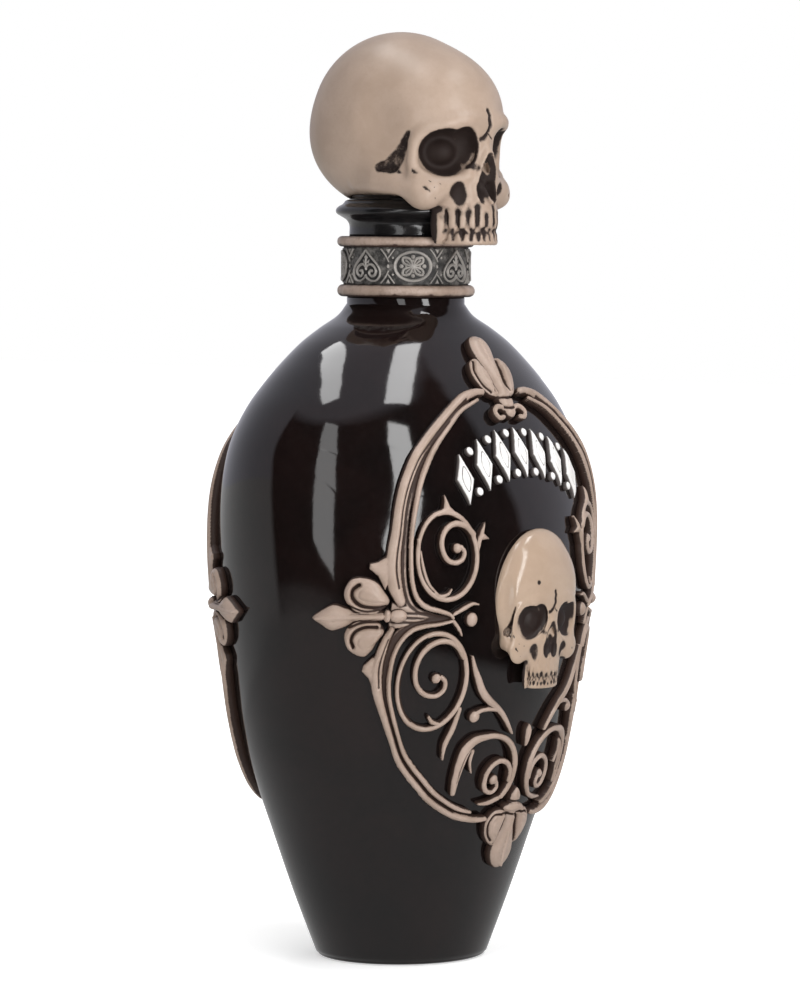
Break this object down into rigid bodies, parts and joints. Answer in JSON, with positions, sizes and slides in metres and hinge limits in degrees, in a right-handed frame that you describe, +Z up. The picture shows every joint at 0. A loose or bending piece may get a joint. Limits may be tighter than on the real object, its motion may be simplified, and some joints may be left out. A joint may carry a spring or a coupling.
{
  "type": "poison bottle",
  "caption": "Oval flask-shaped bottle with framed relief panels front and back, a banded neck and a skull stopper that lifts out and turns.",
  "frame": {"origin": "centre of the flat foot, on the surface that the bottle stands on", "axes": "+Z up along the neck, -Y out of the front panel, the way the skull faces, +X along the oval body's width"},
  "size_m": [0.091, 0.0828, 0.1938],
  "materials": {
    "dark_glaze": "very dark red-brown gloss lacquer on cast resin",
    "bone": "bone paint with a dark brown wash in its hollows, satin",
    "white_enamel": "satin white paint",
    "pewter": "dark antique pewter, rubbed bright on its raised lines",
    "black_gloss": "black gloss paint",
    "felt": "black felt",
    "seal_rubber": "matt black rubber",
    "plug_resin": "black satin resin",
    "dowel_steel": "plain steel"
  },
  "bodies": {
    "bottle": {"bottle_shell": "dark_glaze", "base_pad": "felt", "neck_tube": "plug_resin", "lower_neck_ring": "bone", "neck_band": "pewter", "upper_neck_ring": "bone", "lip_collar": "black_gloss", "band_roundels": "pewter", "band_hearts": "pewter", "band_chevrons": "pewter", "front_left_rim": "bone", "front_left_side_fleur": "bone", "front_left_upper_scroll": "bone", "front_left_middle_scroll": "bone", "front_left_lower_scroll": "bone", "front_left_tendril": "bone", "front_right_rim": "bone", "front_right_side_fleur": "bone", "front_right_upper_scroll": "bone", "front_right_middle_scroll": "bone", "front_right_lower_scroll": "bone", "front_right_tendril": "bone", "front_top_fleur": "bone", "front_bottom_fleur": "bone", "front_accent_beads": "bone", "front_label_row": "white_enamel", "front_skull_badge": "bone", "back_left_rim": "bone", "back_left_side_fleur": "bone", "back_left_upper_scroll": "bone", "back_left_middle_scroll": "bone", "back_left_lower_scroll": "bone", "back_left_tendril": "bone", "back_right_rim": "bone", "back_right_side_fleur": "bone", "back_right_upper_scroll": "bone", "back_right_middle_scroll": "bone", "back_right_lower_scroll": "bone", "back_right_tendril": "bone", "back_top_fleur": "bone", "back_bottom_fleur": "bone", "back_accent_beads": "bone", "back_label_row": "white_enamel", "back_skull_badge": "bone"},
    "seals": {"upper_seal": "seal_rubber", "lower_seal": "seal_rubber"},
    "stopper": {"stopper_plug": "plug_resin", "stopper_collar": "black_gloss", "finial_dowel": "dowel_steel", "skull_finial": "bone"}
  },
  "joints": [
    {"name": "stopper_lift", "type": "slide", "parent": "bottle", "child": "seals", "axis": [0, 0, 1], "range_m": [0, 0.045]},
    {"name": "stopper_turn", "type": "hinge", "parent": "seals", "child": "stopper", "pos_m": [0, 0, 0.15], "axis": [0, 0, 1], "continuous": true}
  ]
}
